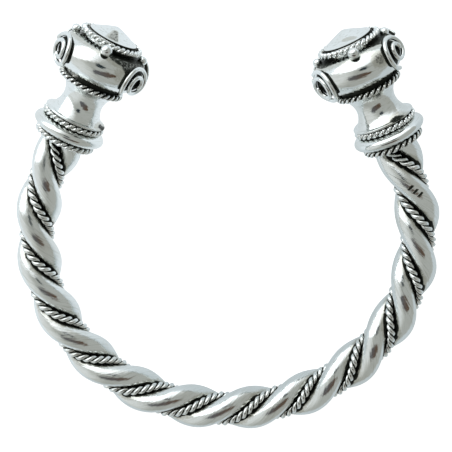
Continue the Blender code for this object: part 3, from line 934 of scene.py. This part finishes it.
class Nodes:
    """Short calls for building the nodes of a material or of the world."""

    def __init__(self, holder, shader):
        self.holder = holder
        holder.use_nodes = True
        self.tree = holder.node_tree
        self.shader = self.tree.nodes[shader]

    def new(self, kind, **settings):
        node = self.tree.nodes.new("ShaderNode" + kind)
        inputs = settings.pop("inputs", {})
        for key, value in settings.items():
            setattr(node, key, value)
        for key, value in inputs.items():
            self.set(node.inputs[key], value)
        return node

    def set(self, socket, value):
        if isinstance(value, bpy.types.NodeSocket):
            self.tree.links.new(value, socket)
        else:
            socket.default_value = value

    def maths(self, operation, first, second=0.0, third=0.0):
        node = self.new("Math", operation=operation)
        for socket, value in zip(node.inputs, (first, second, third)):
            self.set(socket, value)
        return node.outputs[0]

    def noise(self, scale, detail=3.0, roughness=0.5, vector=None):
        inputs = {"Scale": scale, "Detail": detail, "Roughness": roughness}
        if vector is not None:
            inputs["Vector"] = vector
        return self.new("TexNoise", inputs=inputs).outputs["Fac"]

    def ramp(self, value, low, high):
        """Rises smoothly from 0 to 1 as the value goes from low to high."""
        inputs = {"Value": value, "From Min": low, "From Max": high}
        return self.new("MapRange", interpolation_type="SMOOTHSTEP", inputs=inputs).outputs["Result"]

    def mix(self, share, first, second):
        node = self.new("Mix", data_type="RGBA")
        self.set(node.inputs[0], share)
        self.set(node.inputs[6], first)
        self.set(node.inputs[7], second)
        return node.outputs[2]

    def bump(self, height, depth, strength=1.0, normal=None):
        inputs = {"Strength": strength, "Distance": depth * MM, "Height": height}
        if normal is not None:
            inputs["Normal"] = normal
        return self.new("Bump", inputs=inputs).outputs[0]


def silver(name, roughness, patina_and_shade_low, patina_and_shade_high, marks=POLISH_DEPTH):
    """Polished silver with faint tarnish, fine scratches, and black patina and painted shade where the
    mesh says so.
    """
    nodes = Nodes(bpy.data.materials.new(name), "Principled BSDF")
    place = nodes.new("TexCoord").outputs["Object"]
    # The mesh's patina, which also holds painted shadow, shade, light and reflections
    mask = nodes.new("Attribute", attribute_name="patina_and_shade").outputs["Fac"]
    grain = nodes.new("Attribute", attribute_name="grain").outputs["Vector"]
    streaks = nodes.noise(scale=3.2, detail=4, roughness=0.55, vector=grain)
    scratches = nodes.noise(scale=9, detail=3, roughness=0.6, vector=grain)
    grit = nodes.noise(scale=2600, detail=4, roughness=0.6, vector=place)
    mottling = nodes.noise(scale=1100, detail=3, roughness=0.6, vector=place)
    dents = nodes.noise(scale=260, detail=3, roughness=0.45, vector=place)
    clouds = nodes.noise(scale=170, detail=3, roughness=0.5, vector=place)

    ragged = nodes.maths("MULTIPLY", nodes.maths("SUBTRACT", grit, 0.5), 0.5)
    ragged_patina_and_shade = nodes.maths("ADD", mask, ragged)
    dark = nodes.ramp(ragged_patina_and_shade, patina_and_shade_low, patina_and_shade_high)
    clean = nodes.mix(nodes.ramp(clouds, 0.45, 0.75), CLEAN, TARNISHED)
    haze = nodes.maths("MULTIPLY", nodes.ramp(ragged_patina_and_shade, 0.05, 0.32), 0.8)
    clean = nodes.mix(haze, clean, HAZY)
    dull = nodes.maths("MULTIPLY", nodes.ramp(streaks, 0.5, 0.72), 0.55)
    clean = nodes.mix(dull, clean, DULL)
    patina_and_shade = nodes.mix(mottling, DEEP_PATINA_AND_SHADE, PALE_PATINA_AND_SHADE)
    nodes.set(nodes.shader.inputs["Base Color"], nodes.mix(dark, clean, patina_and_shade))

    wear = nodes.maths("ADD", roughness, nodes.maths("MULTIPLY", streaks, 0.1))
    wear = nodes.maths("ADD", wear, nodes.maths("MULTIPLY", dark, 0.42))
    nodes.set(nodes.shader.inputs["Roughness"], wear)
    nodes.shader.inputs["Metallic"].default_value = 1

    normal = nodes.bump(dents, DENT_DEPTH, 0.8)
    normal = nodes.bump(streaks, marks, normal=normal)
    normal = nodes.bump(scratches, SCRATCH_DEPTH, normal=normal)
    nodes.set(nodes.shader.inputs["Normal"], normal)
    return nodes.holder


def paint(name, base, first_glow, last_glow, first=0.0, last=1.0, direction=(1, 0, 0)):
    """A matt stage paint, whose glow changes from a first to a last place along a direction."""
    nodes = Nodes(bpy.data.materials.new(name), "Principled BSDF")
    nodes.shader.inputs["Base Color"].default_value = (base, base, base, 1)
    nodes.shader.inputs["Roughness"].default_value = 1
    nodes.shader.inputs["Specular IOR Level"].default_value = 0
    place = nodes.new("TexCoord").outputs["Object"]
    across = nodes.new("VectorMath", operation="DOT_PRODUCT", inputs={0: place, 1: direction})
    share = nodes.ramp(across.outputs["Value"], first, last)
    nodes.set(nodes.shader.inputs["Emission Color"], nodes.mix(share, (*first_glow, 1), (*last_glow, 1)))
    nodes.shader.inputs["Emission Strength"].default_value = 1
    return nodes.holder


# Studio and camera

# The floor just under the bracelet, and a sheet over it that only reflections show, whose glow is a
# painted reflection of the lit floor, brighter towards the upper left
FLOOR_HEIGHT = -0.0001
SHEET_HEIGHT = -0.00005
FLOOR_REACH = 1.5
FLOOR_GLOW = (0.85, 0.85, 0.85)
SHEET_GLOWS = ((0.56, 0.61, 0.63), (0.82, 0.87, 0.90))
SHEET_GLOW_PLACES = (-0.025, 0.03)
SHEET_SLANT = (-math.sqrt(0.5), math.sqrt(0.5), 0)

# Dark cards overhead, as centre, half sizes and glows at their two sides
LARGE_CARD = ((0.03, -0.078, 0.19), (0.135, 0.066), (0.105, 0.105, 0.11), (0.10, 0.062, 0.04))
LARGE_GLOW_PLACES = (-0.09, 0.14)
SMALL_CARD = ((0.02, 0.081, 0.19), (0.040, 0.033), (0.02, 0.03, 0.035), (0.02, 0.03, 0.035))

# Glows round the studio, as azimuth, degrees from the top, and cosines where they start and are full
WINDOW_EDGE = (102.1, 94.6, 0.34, 0.47)
WINDOW_SIDE = (135, 90, 0.1, 0.8)
ROOM_SIDE = (190, 80, 0.35, 1.0)
WINDOW_STRENGTH = 1.3
ROOM_STRENGTH = 0.41
ROOM_RISE = 0.33
ROOM_COLOURS = ((0.97, 0.985, 0.92, 1), (0.98, 1.0, 1.0, 1))

# The photo's camera, fitted in the plane of the hoop. Its lengths are in pixels of this size
PIXEL = 0.182
PICTURE_WIDTH = 452
FOCAL_LENGTH = 1250
ELEVATION = math.radians(18.756)
ROLL = 0.012236
SHIFT_X, SHIFT_Y = 1.781, -15.68

# Sensor that the lens is stated for
SENSOR_WIDTH = 36


def add_stage_mesh(name, corners, material, seen_by_camera):
    """A flat piece of the studio. One that the camera doesn't see only shows in reflections."""
    mesh = bpy.data.meshes.new(name)
    mesh.from_pydata([tuple(corner) for corner in corners], [], [tuple(range(len(corners)))])
    mesh.materials.append(material)
    card = bpy.data.objects.new(name, mesh)
    bpy.context.scene.collection.objects.link(card)
    card.visible_glossy = not seen_by_camera
    card.visible_camera = seen_by_camera
    card.visible_diffuse = seen_by_camera
    card.visible_shadow = seen_by_camera
    return card


def square(reach, height):
    return [(x * reach, y * reach, height) for x, y in ((-1, -1), (1, -1), (1, 1), (-1, 1))]


def disc(centre, half_sizes):
    return [
        (centre[0] + half_sizes[0] * math.cos(t), centre[1] + half_sizes[1] * math.sin(t), centre[2])
        for t in circle(48)
    ]


def add_floor():
    """A pale sheet lit from below, and the greyer sheet that the silver reflects, whose glow is a
    painted reflection of the lit floor.
    """
    pale = paint("pale_floor", 0.6, FLOOR_GLOW, FLOOR_GLOW)
    add_stage_mesh("floor", square(FLOOR_REACH, FLOOR_HEIGHT), pale, True)
    grey = paint("grey_sheet", 0, *SHEET_GLOWS, *SHEET_GLOW_PLACES, SHEET_SLANT)
    add_stage_mesh("sheet", square(FLOOR_REACH, SHEET_HEIGHT), grey, False)


def add_cards():
    """Two dark cards overhead, which only show in reflections."""
    centre, half_sizes, *glows = LARGE_CARD
    large = paint("dark_paint", 0, *glows, *LARGE_GLOW_PLACES)
    add_stage_mesh("large_card", disc(centre, half_sizes), large, False)
    centre, half_sizes, *glows = SMALL_CARD
    small = paint("blue_grey_paint", 0, *glows)
    add_stage_mesh("small_card", disc(centre, half_sizes), small, False)


def add_room():
    """Soft white light from low behind, in a grey room."""
    nodes = Nodes(bpy.data.worlds.new("studio"), "Background")
    bpy.context.scene.world = nodes.holder
    way = nodes.new("TexCoord").outputs["Generated"]

    def glow(azimuth, from_top, far, near):
        """Rises from 0 to 1 as the cosine of the angle to a direction goes from far to near."""
        azimuth, from_top = math.radians(azimuth), math.radians(from_top)
        centre = (*(math.sin(from_top) * directions(azimuth)), math.cos(from_top))
        facing = nodes.new("VectorMath", operation="DOT_PRODUCT", inputs={0: way, 1: centre})
        return nodes.ramp(facing.outputs["Value"], far, near)

    window = nodes.maths("MULTIPLY", glow(*WINDOW_EDGE), glow(*WINDOW_SIDE))
    room = nodes.maths("MULTIPLY_ADD", glow(*ROOM_SIDE), ROOM_RISE, ROOM_STRENGTH)
    room = nodes.maths("MULTIPLY_ADD", window, WINDOW_STRENGTH, room)
    nodes.set(nodes.shader.inputs["Color"], nodes.mix(nodes.ramp(room, 0.4, 0.9), *ROOM_COLOURS))
    nodes.set(nodes.shader.inputs["Strength"], room)
    bpy.context.scene.view_settings.view_transform = "Standard"


def add_camera():
    """Camera of the photo, which looks at the hoop's plane and rests with it."""
    along, above = FOCAL_LENGTH * math.sin(ELEVATION), FOCAL_LENGTH * math.cos(ELEVATION)
    spot = Vector((-SHIFT_X, along - SHIFT_Y, above)) * PIXEL * MM
    aim = Vector((-SHIFT_X, -SHIFT_Y, 0)) * PIXEL * MM
    forward = (aim - spot).normalized()
    right = forward.cross(Vector((0, 1, 0))).normalized()
    upward = right.cross(forward)
    turn = Matrix((right, upward, -forward)).transposed().to_4x4() @ Matrix.Rotation(ROLL, 4, "Z")
    turn.translation = spot
    data = bpy.data.cameras.new("camera")
    data.sensor_width = SENSOR_WIDTH
    data.lens = SENSOR_WIDTH * FOCAL_LENGTH / PICTURE_WIDTH
    data.clip_start = 0.01
    camera = bpy.data.objects.new("camera", data)
    bpy.context.scene.collection.objects.link(camera)
    camera.matrix_world = REST @ turn
    bpy.context.scene.camera = camera


polished = silver("polished_silver", roughness=0.05, patina_and_shade_low=0.35, patina_and_shade_high=0.6)
drawn = silver("drawn_silver", roughness=0.1, patina_and_shade_low=0.35, patina_and_shade_high=0.6, marks=DRAWN_DEPTH)
roped = silver("roped_silver", roughness=0.12, patina_and_shade_low=0.4, patina_and_shade_high=0.7)
add_hoop(drawn, roped)
for side_name, side_sign in SIDES.items():
    add_terminal(side_name, side_sign, polished, roped)
add_floor()
add_cards()
add_room()
add_camera()
